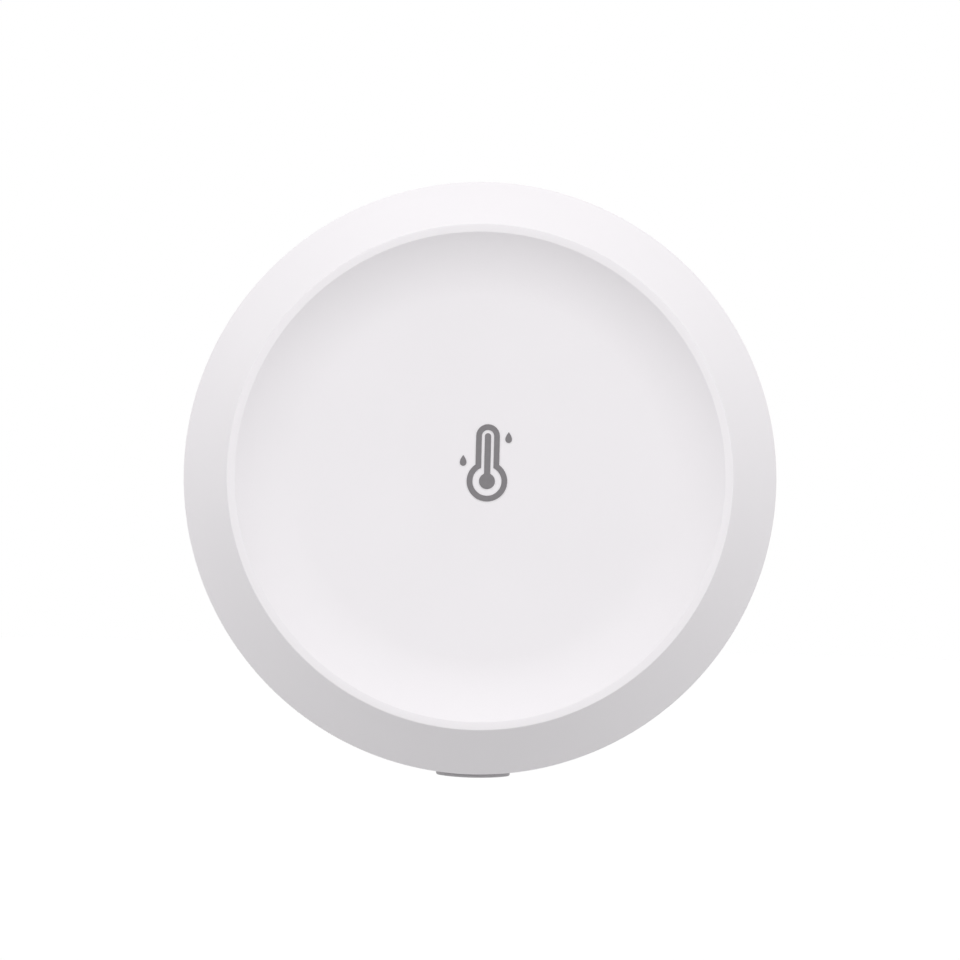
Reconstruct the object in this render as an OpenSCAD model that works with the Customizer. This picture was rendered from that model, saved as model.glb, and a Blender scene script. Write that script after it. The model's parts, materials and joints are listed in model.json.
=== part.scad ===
// Round stick-on temperature and humidity sensor, powered by a coin cell.
// Each piece is built lying down: the wall is the plane z = 0, the dished face looks along +z
// and the button is at the -y side. stand_up() then turns the piece upright: the face looks
// along -y, the symbol stands along +z, and the wall is the plane y = 0.

/* [Housing] */
// Diameter of the front shell at its widest edge
body_d = 36; // [35.5:0.5:44]
// How far the side draws in from the widest edge to the back edge
back_draw = 0.4; // [0.1:0.05:0.6]
// Side and bevel wall of the front shell
wall_t = 1.6; // [1.3:0.1:2]
// Thickness of the dished face
face_t = 1.3; // [1:0.1:2]
// Depth of the bevel, from the widest edge forward to the lip
bevel_h = 4.4; // [3.4:0.1:4.8]
// Width of the bevel, measured along the radius
bevel_w = 2.76; // [2:0.02:3.4]
// Width of the flat lip round the dish
lip_w = 0.48; // [0.3:0.02:1]
// Depth of the dish below the lip
dish_depth = 1.3; // [0.6:0.1:2]
// Width of the dish's curved border, measured along the radius
dish_curve_w = 3.76; // [2.5:0.02:6]
// Radius that breaks the widest edge
edge_r = 0.25; // [0.1:0.05:0.5]
// Radius that breaks the lip's edges
lip_r = 0.08; // [0.04:0.02:0.15]

/* [Symbol] */
// Thermometer bulb, offset to the right of the centre
icon_x = 0.42; // [-3:0.01:3]
// Thermometer bulb, offset above the centre
icon_y = -0.23; // [-3:0.01:3]
// Outer diameter of the thermometer bulb
icon_bulb_d = 2.45; // [2:0.05:3.2]
// Outer width of the thermometer tube
icon_tube_w = 1.43; // [1.2:0.01:1.8]
// Height of the tube's tip above the bulb's centre
icon_tube_h = 3.44; // [2.8:0.02:5]
// Line width of the thermometer outline
icon_line = 0.345; // [0.2:0.005:0.4]
// Diameter of the filled bulb
icon_fill_d = 0.96; // [0.6:0.02:1.1]
// Width of the filled column
icon_column_w = 0.375; // [0.2:0.005:0.44]
// Height of the filled column above the bulb's centre
icon_column_h = 2.9; // [1.5:0.05:2.9]
// Width of a drop
icon_drop_w = 0.4; // [0.25:0.01:0.6]
// Height of a drop
icon_drop_h = 0.65; // [0.4:0.01:0.9]
// Thickness of the printed ink
icon_ink_t = 0.04; // [0.02:0.01:0.1]

/* [Coin cell] */
// Diameter of the cell
cell_d = 20; // [16:0.5:20.5]
// Height of the cell
cell_h = 3.2; // [2.5:0.1:5]
// Sheet thickness of the cell's can
cell_can_t = 0.3; // [0.2:0.05:0.4]
// Width of the can's crimped rim
cell_rim_w = 0.85; // [0.6:0.05:1.2]
// Width of the gasket that shows between rim and cap
cell_gasket_w = 0.4; // [0.2:0.05:0.6]
// How far the cap stands above the can's rim
cell_cap_rise = 0.35; // [0.2:0.05:0.6]

/* [Battery door] */
// Thickness of the door and of the back cover
door_t = 1.4; // [1.3:0.1:2]
// Thickness of the door's flange, which lies flush in the cover
door_flange_t = 0.75; // [0.6:0.05:0.8]
// Radial thickness of the door's skirt
door_skirt_t = 0.7; // [0.5:0.05:0.8]
// How far a lug reaches past the skirt
lug_reach = 0.6; // [0.4:0.05:0.7]
// Height of a lug
lug_h = 0.6; // [0.5:0.05:0.8]
// Angle that a lug spans
lug_span = 18; // [12:1:20]
// Turn of the door between locked and unlocked
door_twist = 25; // [15:1:28]
// Length of the coin slot
coin_slot_l = 14; // [8:0.5:17]
// Width of the coin slot
coin_slot_w = 1.8; // [1.2:0.1:2.4]
// Depth of the coin slot
coin_slot_depth = 0.7; // [0.4:0.05:0.85]

/* [Back cover] */
// Width of the ledge in the shell that the cover sits on
cover_ledge_w = 0.3; // [0.2:0.05:0.5]
// Thickness of the ledge in the cover that holds the lugs
cover_ledge_t = 0.8; // [0.6:0.05:1]
// Wall of the battery bay behind the lug grooves
bay_wall_t = 0.65; // [0.5:0.05:0.8]
// Width of the cover's rim outside the adhesive pad
cover_rim_w = 0.85; // [0.6:0.05:1.1]
// Width of the land between the door and the adhesive pad
cover_land_w = 0.7; // [0.4:0.05:0.9]
// Thickness of the adhesive pad
pad_t = 0.8; // [0.6:0.1:1.2]
// How far the pad stands out from the back cover
pad_proud = 0.4; // [0.2:0.05:0.5]

/* [Screws] */
// Diameter of a cover screw's thread
screw_d = 1.6; // [1.4:0.1:1.8]
// Diameter of a cover screw's head
screw_head_d = 2.8; // [2.4:0.1:2.9]
// Height of a cover screw's head
screw_head_h = 0.9; // [0.7:0.1:1.1]
// Wall of the shell's post round the screw
post_wall_t = 0.65; // [0.5:0.05:0.75]
// Wall of the cover's sleeve round the post
sleeve_wall_t = 0.7; // [0.5:0.05:0.8]
// Width of the shoulder that the board rests on
shoulder_w = 0.85; // [0.6:0.05:0.95]

/* [Button] */
// Width of the button's cap
button_w = 4.5; // [3.5:0.1:5.6]
// Height of the button's cap
button_h = 2; // [1.6:0.1:2.4]
// How far the cap stands out past the widest edge
button_proud = 0.22; // [0.1:0.02:0.6]
// Travel of the button
button_travel = 0.3; // [0.2:0.05:0.3]
// How far an ear reaches past each end of the cap
button_ear_w = 0.8; // [0.6:0.05:0.9]
// Thickness of the ears
button_ear_t = 0.7; // [0.5:0.05:0.9]

/* [Vents] */
// Number of slots in each of the two groups
vent_count = 5; // [3:1:5]
// Width of a slot
vent_w = 1; // [0.6:0.1:1.2]
// Length of a slot
vent_l = 3.2; // [2:0.1:3.4]
// Angle from slot to slot
vent_pitch = 6.5; // [5:0.5:6.5]
// Angle from the button to the middle of each group
vent_offset = 30; // [29:1:34]

/* [Circuit board] */
// Thickness of the board
board_t = 1; // [0.8:0.1:1.6]
// Gap between the board's edge and the shell
board_gap = 0.8; // [0.4:0.1:1.1]
// Room between the cell and the board for the spring contact
contact_room = 0.8; // [0.6:0.1:1.5]
// Room between the board and the dished face for the parts
parts_room = 2; // [1.8:0.1:3]
// Sheet thickness of the battery contacts
contact_t = 0.25; // [0.15:0.05:0.3]
// Width of the spring contact
leaf_w = 3; // [2:0.5:5]
// Length of the spring contact
leaf_l = 12; // [9:0.5:15]
// Length of each soldered foot of the spring contact
leaf_foot_l = 1.5; // [1:0.1:2.5]
// Length of the spring contact's crest, which touches the cell
leaf_crest_l = 3; // [1.5:0.1:3.5]
// Angle that the side contact wraps round the cell
strap_span = 60; // [40:5:80]
// Width of the milled slots round the humidity chip
mill_w = 0.8; // [0.5:0.1:1]
// Side of the humidity chip
humidity_w = 2.5; // [2:0.1:3]
// Height of the humidity chip
humidity_h = 0.9; // [0.6:0.1:0.9]
// Width of the switch
switch_w = 4.6; // [4:0.1:6]
// Height of the switch above the board
switch_h = 2.2; // [2:0.1:2.5]
// Depth of the switch
switch_depth = 1.7; // [1.6:0.1:2]
// How far the switch's plunger stands out
plunger_out = 0.7; // [0.6:0.05:0.8]
// Diameter of the thinned spot in the face over the light
led_window_d = 2.6; // [2:0.1:4]
// Thickness of the face over the light
led_window_t = 0.6; // [0.4:0.1:0.9]

/* [Hidden] */
$fn = 120;

// Clearances: between pieces that slide or turn, along the axis, and a touch for thin contacts
fit = 0.1;
slip = 0.05;
touch = 0.02;
// Overlap that joins two solids of one piece, and overshoot of a cut
weld = 0.15;
over = 1;

// Levels above the wall
z_back = pad_proud;
z_cover = z_back + door_t;
z_cell = z_cover + fit;
z_cap = z_cell + cell_h;
z_board = z_cap + contact_room;
z_parts = z_board + board_t;
z_ceiling = z_parts + parts_room;
z_floor = z_ceiling + face_t;
z_lip = z_floor + dish_depth;
z_edge = z_lip - bevel_h;

// Front shell
r_body = body_d / 2;
r_back = r_body - back_draw;
r_lip = r_body - bevel_w;
r_dish = r_lip - lip_w;
r_floor = r_dish - dish_curve_w;
r_cavity = r_body - wall_t;
r_seat = r_cavity + cover_ledge_w;
r_cover = r_seat - fit;
dish_arc_r = (pow(dish_curve_w, 2) + pow(dish_depth, 2)) / (2 * dish_depth);
dish_arc_a = asin(dish_curve_w / dish_arc_r);
bevel_len = norm([bevel_w, bevel_h]);
back_edge_r = 0.25;
dish_steps = 30;

// Radius of the bevel's inner face at a level, and the level at which it meets the cavity wall
function bevel_in(z) = r_body - wall_t * bevel_len / bevel_h - (z - z_edge) * bevel_w / bevel_h;
z_shoulder = z_edge + (bevel_in(z_edge) - r_cavity) * bevel_h / bevel_w;

// Cell, door and battery bay, from the inside out
r_cell = cell_d / 2;
cell_slack = 0.2;
r_skirt_in = r_cell + cell_slack;
r_skirt = r_skirt_in + door_skirt_t;
r_throat = r_skirt + fit;
r_lug = r_skirt + lug_reach;
r_groove = r_lug + fit;
r_bay = r_groove + bay_wall_t;
door_overlap = 0.15;
door_edge_r = 0.15;
r_flange = r_groove + door_overlap;
r_flange_seat = r_flange + fit;
z_flange_seat = z_back + door_flange_t + slip;
z_ledge = z_flange_seat + cover_ledge_t;
z_lug = z_ledge + slip;
z_lug_top = z_lug + lug_h;
rim_step = 0.1;
z_skirt = z_lug_top + rim_step;
bay_gap = 1;
z_bay_top = z_board - bay_gap;
lug_angles = [30, 150, 270];
entry_slack = 1.5;

// Inside of the cell
z_can_in = z_cell + cell_can_t;
r_can_in = r_cell - cell_can_t;
z_rim = z_cap - cell_cap_rise;
r_rim_in = r_cell - cell_rim_w;
r_cell_cap = r_rim_in - cell_gasket_w;
can_bend_r = 0.4;
can_crimp_r = 0.5;

// Adhesive pad
r_recess_in = r_flange_seat + cover_land_w;
r_recess_out = r_cover - cover_rim_w;
z_recess = pad_t;

// Screws, posts and sleeves
boss_angles = [90, 210, 330];
post_d = screw_d + 2 * post_wall_t;
sleeve_bore_d = post_d + 2 * fit;
sleeve_d = sleeve_bore_d + 2 * sleeve_wall_t;
shoulder_d = post_d + 2 * shoulder_w;
boss_r = r_cavity - sleeve_d / 2 - fit;
head_bore_d = screw_head_d + 2 * fit;
screw_bore_d = screw_d + 2 * touch;
screw_hole_d = screw_d + 2 * fit;
z_head = z_recess + fit;
z_head_top = z_head + screw_head_h;
sleeve_floor_t = 1;
z_sleeve = z_head_top + sleeve_floor_t;
z_post = z_sleeve + slip;
screw_tip_gap = 0.9;
z_screw_tip = z_parts - screw_tip_gap;
head_edge_r = 0.25;
cross_l = 1.7;
cross_w = 0.35;
cross_depth = 0.5;

// Side contact
strap_gap = 0.25;
z_strap = z_skirt + strap_gap;
foot_span = 10;
foot_l = 1.8;
foot_inset = 2;
foot_offset = strap_span / 2 - foot_inset - foot_span / 2;

// Board, button and switch
r_board = r_cavity - board_gap;
button_angle = 270;
z_button = z_board - switch_h / 2;
button_ears = button_w + 2 * button_ear_w;
r_button = r_body + button_proud;
r_ear = sqrt(pow(r_cavity, 2) - pow(button_ears / 2, 2)) - slip;
r_tip = r_ear - button_ear_t;
r_switch = r_tip - plunger_out;
r_switch_back = r_switch - switch_depth;
switch_cover_t = 0.15;
switch_relief_h = switch_h + 2 * (switch_cover_t + fit);
switch_wall_t = 0.35;
plunger_w = 1.8;
plunger_h = 0.9;
collar_w = 2.3;
collar_h = 1.3;
collar_t = 0.22;
chamber_w = 2.6;
chamber_h = 1.5;
chamber_depth = 0.7;
r_chamber = r_switch - switch_wall_t;
r_collar = r_chamber - slip - collar_t;
dome_d = 1.4;
dome_rise = r_collar - (r_chamber - chamber_depth);
dome_t = 0.08;
board_flat_gap = 0.2;
board_flat = r_tip - button_travel - board_flat_gap;

// Vents and humidity chip
vent_angles = [button_angle - vent_offset, button_angle + vent_offset];
z_vent = (z_cover + z_edge) / 2;
chip_edge_gap = 0.4;
humidity_angle = button_angle - vent_offset;
humidity_r = r_board - chip_edge_gap - humidity_w / 2;
port_d = 1;
port_depth = 0.3;
mill_gap = 0.7;
mill_in = humidity_w / 2 + mill_gap;
mill_out = 0.3;

// Parts on the front of the board: width, depth, height, and where each stands
radio_size = [6, 6, 0.9];
radio_at = [-1.5, 1.5];
crystal_size = [3.2, 2.5, 0.75];
crystal_at = [-7.6, 2.4];
clock_size = [3.2, 1.5, 0.75];
clock_at = [-7.6, -1.2];
antenna_size = [2, 7, 1.1];
antenna_inset = 2.7;
antenna_at = [r_board - antenna_inset, 1.6];
led_size = [1.6, 0.8, 0.6];
led_at = [0, -9];
bulk_size = [3.2, 2.5, 1.5];
bulk_at = [6.4, -5.2];
inductor_size = [2, 1.6, 1];
inductor_at = [5.4, -1.4];
cap_size = [1, 0.5, 0.5];
res_size = [1, 0.5, 0.35];
cap_x = [-5, -3.4, -1.5, 0.4, 2.9, 2.9, -4.6, -2.6, 8.6, 8.6];
cap_y = [4.6, 5.8, 5.8, 5.8, 3.4, 2.2, -3, -3, 3.4, 2.2];
res_x = [-0.6, 1.4, -1.6, 0.4, 6.2, 6.2];
res_y = [-3, -3, -7, -7, 2.8, 1.6];

// Symbol
drop_right = [1.247, 2.66];
drop_left = [-1.463, 1.22];

// Colours
shell_white = [0.925, 0.915, 0.925];
cover_white = [0.905, 0.9, 0.905];
button_grey = [0.55, 0.54, 0.55];
ink_grey = [0.518, 0.506, 0.518];
foam_grey = [0.34, 0.34, 0.35];
board_green = [0.09, 0.32, 0.2];
steel = [0.76, 0.76, 0.75];
gold_plate = [0.83, 0.68, 0.36];
gasket_grey = [0.25, 0.25, 0.27];
chip_black = [0.08, 0.08, 0.09];
ceramic_blue = [0.62, 0.72, 0.78];
ceramic_tan = [0.62, 0.5, 0.36];
led_clear = [0.95, 0.95, 0.8];

// Points of an arc, of a pill shape and of a path whose corners [x, y, radius] are rounded
function arc(c, r, a0, a1, n) =
    [for (i = [0:n]) c + r * [cos(a0 + (a1 - a0) * i / n), sin(a0 + (a1 - a0) * i / n)]];

function pill(w, h, n = 12) =
    w >= h
    ? concat(arc([(w - h) / 2, 0], h / 2, -90, 90, n), arc([(h - w) / 2, 0], h / 2, 90, 270, n))
    : [for (p = pill(h, w, n)) [-p[1], p[0]]];

function turn(a) = a > 180 ? a - 360 : a < -180 ? a + 360 : a;

function corner(a, b, c, r, n) =
    r <= 0
    ? [b]
    : let (
        u = (a - b) / norm(a - b),
        v = (c - b) / norm(c - b),
        half = acos(u * v) / 2,
        o = b + (u + v) / norm(u + v) * r / sin(half),
        p = b + u * r / tan(half) - o,
        q = b + v * r / tan(half) - o,
        s = atan2(p[1], p[0])
    )
    arc(o, r, s, s + turn(atan2(q[1], q[0]) - s), n);

function flat(p) = [p[0], p[1]];

function rounded(path, n = 6) =
    let (m = len(path))
    [
        for (i = [0:m - 1])
        each corner(flat(path[(i + m - 1) % m]), flat(path[i]), flat(path[(i + 1) % m]), path[i][2], n)
    ];

// Pointed drop about its middle, round at the bottom; drop_peak is the largest sin(t) * sin(t / 2)
drop_peak = 0.77;

function drop(w, h, n = 40) =
    [
        for (i = [0:n - 1])
        let (t = 360 * i / n)
        [w / 2 / drop_peak * sin(t) * sin(t / 2), h / 2 * cos(t)]
    ];

// Common placements and shapes
module stand_up() {
    rotate([90, 0, 0]) children();
}

// Turns a drawing so that it is extruded outward along a radius, with its y along the axis
module radial(angle, r) {
    rotate([0, 0, angle]) translate([r, 0, 0]) rotate([90, 0, 90]) children();
}

module at_bosses() {
    for (a = boss_angles) {
        rotate([0, 0, a]) translate([boss_r, 0, 0]) children();
    }
}

module sector(start, span, r0, r1, z0, z1) {
    rotate([0, 0, start]) rotate_extrude(angle = span) translate([r0, z0]) square([r1 - r0, z1 - z0]);
}

module ring(r0, r1, z0, z1) {
    rotate_extrude() translate([r0, z0]) square([r1 - r0, z1 - z0]);
}

module block(size) {
    translate([-size[0] / 2, -size[1] / 2, 0]) cube(size);
}

module on_front(at) {
    translate([at[0], at[1], z_parts]) children();
}

module across_switch(r, depth, w, h) {
    radial(button_angle, r) linear_extrude(depth) translate([0, z_button]) square([w, h], center = true);
}

// Housing
module front_shell() {
    dish = arc([r_floor, z_floor + dish_arc_r], dish_arc_r, -90, dish_arc_a - 90, dish_steps);
    path = concat(
        [[0, z_floor, 0]],
        [for (i = [0:dish_steps - 1]) [dish[i][0], dish[i][1], 0]],
        [
            [r_dish, z_lip, lip_r / 2],
            [r_lip, z_lip, lip_r],
            [r_body, z_edge, edge_r],
            [r_back, z_back, back_edge_r],
            [r_seat, z_back, 0],
            [r_seat, z_cover, 0],
            [r_cavity, z_cover, 0],
            [r_cavity, z_shoulder, 0],
            [bevel_in(z_ceiling), z_ceiling, 0],
            [0, z_ceiling, 0]
        ]
    );
    color(shell_white)
    stand_up()
    difference() {
        union() {
            rotate_extrude() polygon(rounded(path));
            at_bosses() {
                translate([0, 0, z_parts]) cylinder(d = shoulder_d, h = parts_room + weld);
                translate([0, 0, z_post]) cylinder(d = post_d, h = z_parts - z_post + weld);
            }
        }
        at_bosses() {
            translate([0, 0, z_post - over]) cylinder(d = screw_bore_d, h = z_parts - z_post + over);
        }
        for (middle = vent_angles, i = [0:vent_count - 1]) {
            radial(middle + (i - (vent_count - 1) / 2) * vent_pitch, r_cavity - over)
            linear_extrude(wall_t + 2 * over)
            translate([0, z_vent])
            polygon(pill(vent_w, vent_l));
        }
        radial(button_angle, r_cavity - over)
        linear_extrude(wall_t + 2 * over)
        translate([0, z_button])
        polygon(pill(button_w + 2 * fit, button_h + 2 * fit));
        translate([led_at[0], led_at[1], z_ceiling - over])
        cylinder(d = led_window_d, h = over + face_t - led_window_t);
    }
}

module icon_print() {
    tube_mid = icon_tube_h / 2;
    color(ink_grey)
    stand_up()
    translate([icon_x, icon_y, z_floor])
    linear_extrude(icon_ink_t) {
        difference() {
            union() {
                circle(d = icon_bulb_d);
                translate([0, tube_mid]) polygon(pill(icon_tube_w, icon_tube_h));
            }
            circle(d = icon_bulb_d - 2 * icon_line);
            translate([0, tube_mid - icon_line / 2])
            polygon(pill(icon_tube_w - 2 * icon_line, icon_tube_h - icon_line));
        }
        circle(d = icon_fill_d);
        translate([0, icon_column_h / 2]) polygon(pill(icon_column_w, icon_column_h));
        for (at = [drop_right, drop_left]) {
            translate(at) polygon(drop(icon_drop_w, icon_drop_h));
        }
    }
}

module side_button() {
    color(button_grey)
    stand_up()
    union() {
        intersection() {
            radial(button_angle, r_tip)
            linear_extrude(r_button - r_tip + over)
            translate([0, z_button])
            polygon(pill(button_w, button_h));
            cylinder(r = r_button, h = z_lip);
        }
        across_switch(r_tip, button_ear_t, button_ears, button_h);
    }
}

module back_cover() {
    plate = [[0, z_back, 0], [r_cover, z_back, back_edge_r], [r_cover, z_cover, 0], [0, z_cover, 0]];
    color(cover_white)
    stand_up()
    difference() {
        union() {
            rotate_extrude() polygon(rounded(plate));
            translate([0, 0, z_cover - weld]) cylinder(r = r_bay, h = z_bay_top - z_cover + weld);
            at_bosses() {
                translate([0, 0, z_cover - weld]) cylinder(d = sleeve_d, h = z_board - z_cover + weld);
            }
        }
        translate([0, 0, z_back - over]) cylinder(r = r_flange_seat, h = z_flange_seat - z_back + over);
        translate([0, 0, z_back]) cylinder(r = r_throat, h = z_board);
        for (a = lug_angles) {
            start = a - door_twist / 2 - lug_span / 2 - entry_slack;
            sector(start, lug_span + door_twist + 2 * entry_slack, r_throat - over, r_groove,
                z_ledge, z_lug_top + fit);
            sector(start, lug_span + 2 * entry_slack, r_throat - over, r_groove,
                z_flange_seat - weld, z_ledge + weld);
        }
        ring(r_recess_in, r_recess_out, z_back - over, z_recess);
        across_switch(r_switch_back - fit, switch_depth + over, switch_w + 2 * fit, switch_relief_h);
        at_bosses() {
            translate([0, 0, z_back - over]) cylinder(d = head_bore_d, h = z_head_top - z_back + over);
            translate([0, 0, z_back]) cylinder(d = screw_hole_d, h = z_board);
            translate([0, 0, z_sleeve]) cylinder(d = sleeve_bore_d, h = z_board);
        }
    }
}

module cover_screws() {
    head = [
        [0, z_head, 0], [screw_head_d / 2, z_head, head_edge_r],
        [screw_head_d / 2, z_head_top, 0], [0, z_head_top, 0]
    ];
    color(steel)
    stand_up()
    at_bosses()
    difference() {
        union() {
            rotate_extrude() polygon(rounded(head));
            translate([0, 0, z_head_top - weld]) cylinder(d = screw_d, h = z_screw_tip - z_head_top + weld);
        }
        for (a = [0, 90]) {
            rotate([0, 0, a])
            translate([-cross_l / 2, -cross_w / 2, z_head - over])
            cube([cross_l, cross_w, over + cross_depth]);
        }
    }
}

module battery_door() {
    plate = [[0, z_back, 0], [r_flange, z_back, door_edge_r], [r_flange, z_back + door_flange_t, 0],
        [r_skirt, z_back + door_flange_t, 0], [r_skirt, z_skirt, 0], [r_skirt_in, z_skirt, 0],
        [r_skirt_in, z_cover, 0], [0, z_cover, 0]];
    color(cover_white)
    stand_up()
    difference() {
        union() {
            rotate_extrude() polygon(rounded(plate));
            for (a = lug_angles) {
                sector(a + door_twist / 2 - lug_span / 2, lug_span, r_skirt - weld, r_lug, z_lug, z_lug_top);
            }
        }
        translate([0, 0, z_back - over])
        linear_extrude(over + coin_slot_depth)
        polygon(pill(coin_slot_l, coin_slot_w));
    }
}

module adhesive_pad() {
    color(foam_grey) stand_up() ring(r_recess_in + fit, r_recess_out - fit, 0, pad_t);
}

// Board and what it carries
module circuit_board() {
    notch_w = post_d + 2 * fit;
    color(board_green)
    stand_up()
    difference() {
        translate([0, 0, z_board]) cylinder(r = r_board, h = board_t);
        at_bosses() {
            translate([-notch_w / 2, -notch_w / 2, z_board - over])
            cube([r_board, notch_w, board_t + 2 * over]);
        }
        translate([-r_board, -board_flat - r_board, z_board - over])
        cube([2 * r_board, r_board, board_t + 2 * over]);
        rotate([0, 0, humidity_angle])
        translate([humidity_r, 0, z_board - over])
        linear_extrude(board_t + 2 * over)
        difference() {
            translate([-mill_in - mill_w, -mill_in - mill_w])
            square([mill_in + mill_w + mill_out, 2 * (mill_in + mill_w)]);
            translate([-mill_in, -mill_in]) square([r_board, 2 * mill_in]);
        }
    }
}

module positive_contact() {
    r_in = r_cell + touch;
    color(steel)
    stand_up()
    union() {
        sector(180 - strap_span / 2, strap_span, r_in, r_in + contact_t, z_strap, z_board);
        for (middle = [-foot_offset, foot_offset]) {
            sector(180 + middle - foot_span / 2, foot_span, r_in + contact_t / 2, r_in + foot_l,
                z_board - contact_t, z_board);
        }
    }
}

module negative_contact() {
    half = leaf_l / 2;
    bend = half - leaf_foot_l;
    crest = leaf_crest_l / 2;
    z_crest = z_cap + touch + contact_t;
    top = [
        [-half, z_board], [-bend, z_board], [-crest, z_crest],
        [crest, z_crest], [bend, z_board], [half, z_board]
    ];
    bottom = [for (i = [5:-1:0]) top[i] - [0, contact_t]];
    color(gold_plate)
    stand_up()
    rotate([90, 0, 0])
    linear_extrude(leaf_w, center = true)
    polygon(concat(top, bottom));
}

// Coin cell
module cell_can() {
    path = [
        [0, z_cell, 0], [r_cell, z_cell, can_bend_r], [r_cell, z_rim, can_crimp_r],
        [r_rim_in, z_rim, 0], [r_rim_in, z_rim - cell_can_t, 0],
        [r_can_in, z_rim - cell_can_t, can_crimp_r - cell_can_t],
        [r_can_in, z_can_in, can_bend_r - cell_can_t], [0, z_can_in, 0]
    ];
    color(steel) stand_up() rotate_extrude() polygon(rounded(path));
}

module cell_gasket() {
    path = [
        [r_cell_cap, z_can_in, 0], [r_can_in, z_can_in, can_bend_r - cell_can_t],
        [r_can_in, z_rim - cell_can_t, can_crimp_r - cell_can_t],
        [r_rim_in, z_rim - cell_can_t, 0], [r_rim_in, z_rim, 0], [r_cell_cap, z_rim, 0]
    ];
    color(gasket_grey) stand_up() rotate_extrude() polygon(rounded(path));
}

module cell_cap() {
    path = [
        [0, z_cap, 0], [r_cell_cap, z_cap, can_bend_r], [r_cell_cap, z_can_in, 0],
        [r_cell_cap - cell_can_t, z_can_in, 0],
        [r_cell_cap - cell_can_t, z_cap - cell_can_t, can_bend_r - cell_can_t],
        [0, z_cap - cell_can_t, 0]
    ];
    color(steel) stand_up() rotate_extrude() polygon(rounded(path));
}

module cell_core() {
    path = [
        [0, z_can_in, 0], [r_cell_cap - cell_can_t, z_can_in, 0],
        [r_cell_cap - cell_can_t, z_cap - cell_can_t, can_bend_r - cell_can_t],
        [0, z_cap - cell_can_t, 0]
    ];
    color(gasket_grey) stand_up() rotate_extrude() polygon(rounded(path));
}

// Parts on the board
module radio_chip() {
    color(chip_black) stand_up() on_front(radio_at) block(radio_size);
}

module main_crystal() {
    color(steel) stand_up() on_front(crystal_at) block(crystal_size);
}

module clock_crystal() {
    color(steel) stand_up() on_front(clock_at) block(clock_size);
}

module chip_antenna() {
    color(ceramic_blue) stand_up() on_front(antenna_at) block(antenna_size);
}

module humidity_chip() {
    color(chip_black)
    stand_up()
    rotate([0, 0, humidity_angle])
    translate([humidity_r, 0, z_board - humidity_h])
    difference() {
        block([humidity_w, humidity_w, humidity_h]);
        translate([0, 0, -over]) cylinder(d = port_d, h = over + port_depth);
    }
}

module status_led() {
    color(led_clear) stand_up() on_front(led_at) block(led_size);
}

module bulk_capacitor() {
    color(ceramic_tan) stand_up() on_front(bulk_at) block(bulk_size);
}

module power_inductor() {
    color(gasket_grey) stand_up() on_front(inductor_at) block(inductor_size);
}

module chip_capacitors() {
    color(ceramic_tan) stand_up() for (i = [0:len(cap_x) - 1]) on_front([cap_x[i], cap_y[i]]) block(cap_size);
}

module chip_resistors() {
    color(chip_black) stand_up() for (i = [0:len(res_x) - 1]) on_front([res_x[i], res_y[i]]) block(res_size);
}

// Side-push switch
module switch_body() {
    color(chip_black)
    stand_up()
    difference() {
        across_switch(r_switch_back, switch_depth, switch_w, switch_h);
        across_switch(r_chamber - chamber_depth, chamber_depth, chamber_w, chamber_h);
        across_switch(r_chamber - weld, switch_wall_t + over, plunger_w + fit, plunger_h + fit);
    }
}

module switch_cover() {
    color(steel)
    stand_up()
    translate([0, -(r_switch + r_switch_back) / 2, z_board - switch_h - switch_cover_t])
    block([switch_w, switch_depth, switch_cover_t]);
}

module switch_dome() {
    dome_r = (pow(dome_d / 2, 2) + pow(dome_rise, 2)) / (2 * dome_rise);
    lean = asin(dome_d / 2 / dome_r);
    top = arc([0, dome_rise - dome_r], dome_r, 90, 90 - lean, 12);
    inner = [for (p = top) if (p[1] > dome_t) p - [0, dome_t]];
    color(steel)
    stand_up()
    radial(button_angle, r_chamber - chamber_depth)
    translate([0, z_button, 0])
    rotate_extrude()
    polygon(concat(top, [for (i = [len(inner) - 1:-1:0]) inner[i]]));
}

module switch_plunger() {
    color(button_grey)
    stand_up()
    union() {
        across_switch(r_collar, r_tip - r_collar, plunger_w, plunger_h);
        across_switch(r_collar, collar_t, collar_w, collar_h);
    }
}

front_shell();
icon_print();
side_button();
back_cover();
cover_screws();
battery_door();
adhesive_pad();
circuit_board();
positive_contact();
negative_contact();
cell_can();
cell_core();
cell_gasket();
cell_cap();
radio_chip();
main_crystal();
clock_crystal();
chip_antenna();
humidity_chip();
status_led();
bulk_capacitor();
power_inductor();
chip_capacitors();
chip_resistors();
switch_body();
switch_cover();
switch_dome();
switch_plunger();
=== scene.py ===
"""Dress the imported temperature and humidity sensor, and stage it as its photograph shows it.

Every length is in metres, in the CAD model's frame: the sensor's axis is Y, its face looks along -Y,
the wall is the plane y = 0 and the symbol stands along +Z. A level is a height above the wall, and an
angle in the sensor's plan runs from +X towards +Z.
"""

import json
import math

import bmesh
import bpy
from bpy.props import FloatProperty, FloatVectorProperty, IntProperty, PointerProperty
from mathutils import Matrix, Vector


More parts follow.
